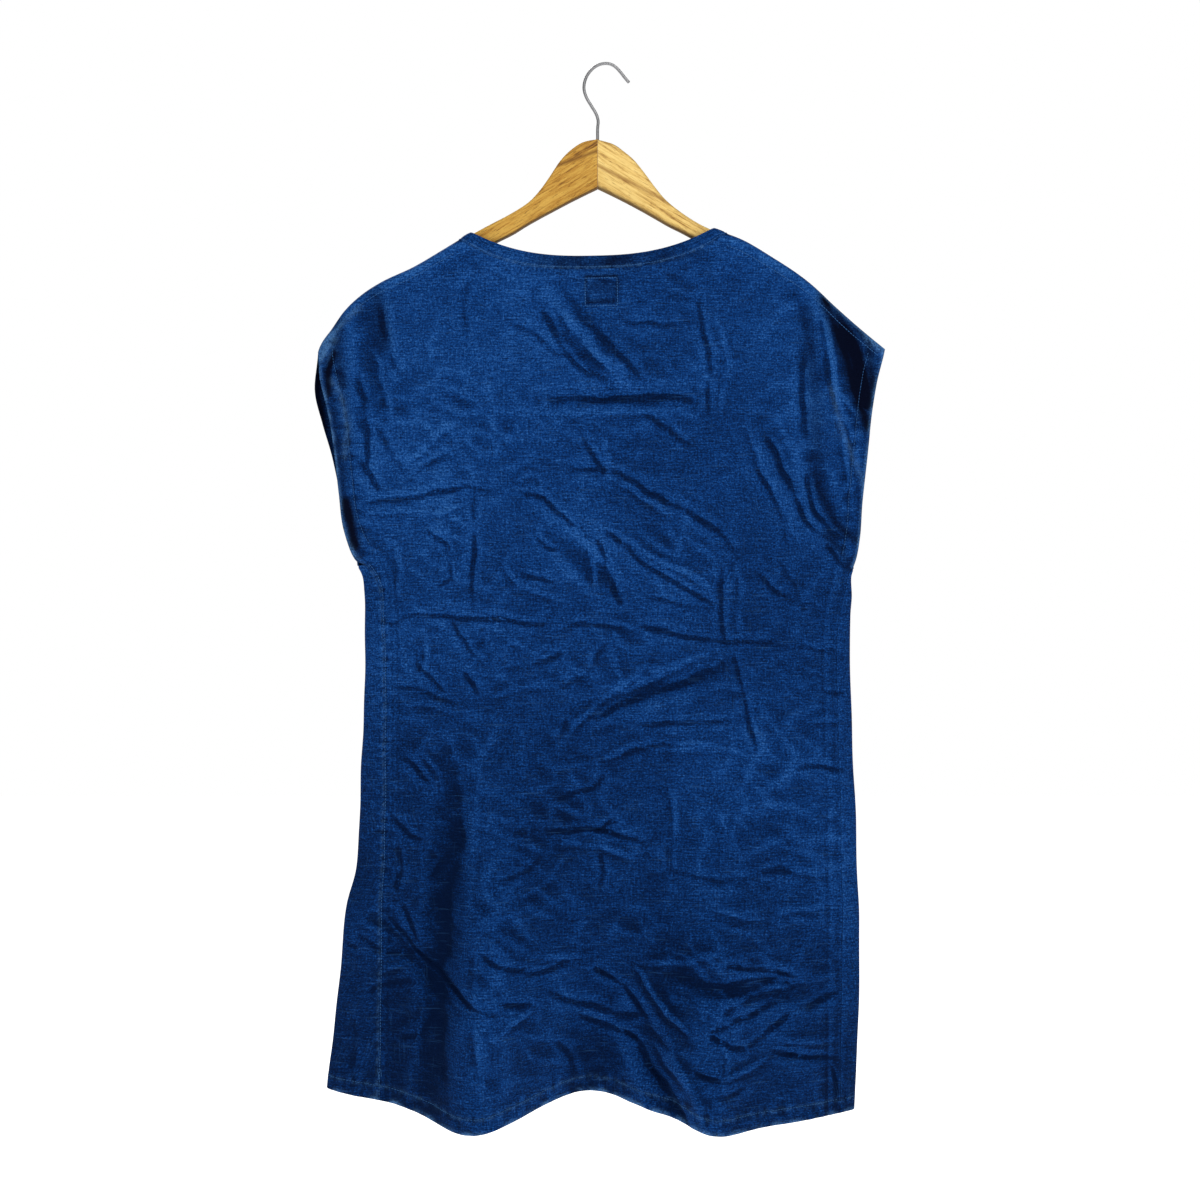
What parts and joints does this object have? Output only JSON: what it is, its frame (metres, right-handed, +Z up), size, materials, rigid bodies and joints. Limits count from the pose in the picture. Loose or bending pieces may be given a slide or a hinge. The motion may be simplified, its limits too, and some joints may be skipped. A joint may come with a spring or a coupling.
{
  "type": "tunic dress on a coat hanger",
  "caption": "Sleeveless knee-length tunic dress of woven indigo cloth with drooping cap shoulders and a bound scoop neck, hung on a flat wooden hanger with a wire hook.",
  "frame": {"origin": "inside top of the hook, where a rail carries it", "axes": "+Z up, -Y the back of the dress, +X the wearer's right"},
  "size_m": [0.5709, 0.1446, 1.0566],
  "materials": {
    "cloth": "slubby plain weave, matt",
    "binding": "slubby plain weave, matt",
    "wood_brown": "satin lacquer",
    "wood_honey": "satin lacquer",
    "wire": "bright plated steel"
  },
  "bodies": {
    "root": {"back_panel": "cloth", "front_panel": "cloth", "neck_binding": "binding", "hanger_arm_left": "wood_brown", "hanger_arm_right": "wood_honey", "hanger_hook": "wire"}
  },
  "joints": []
}
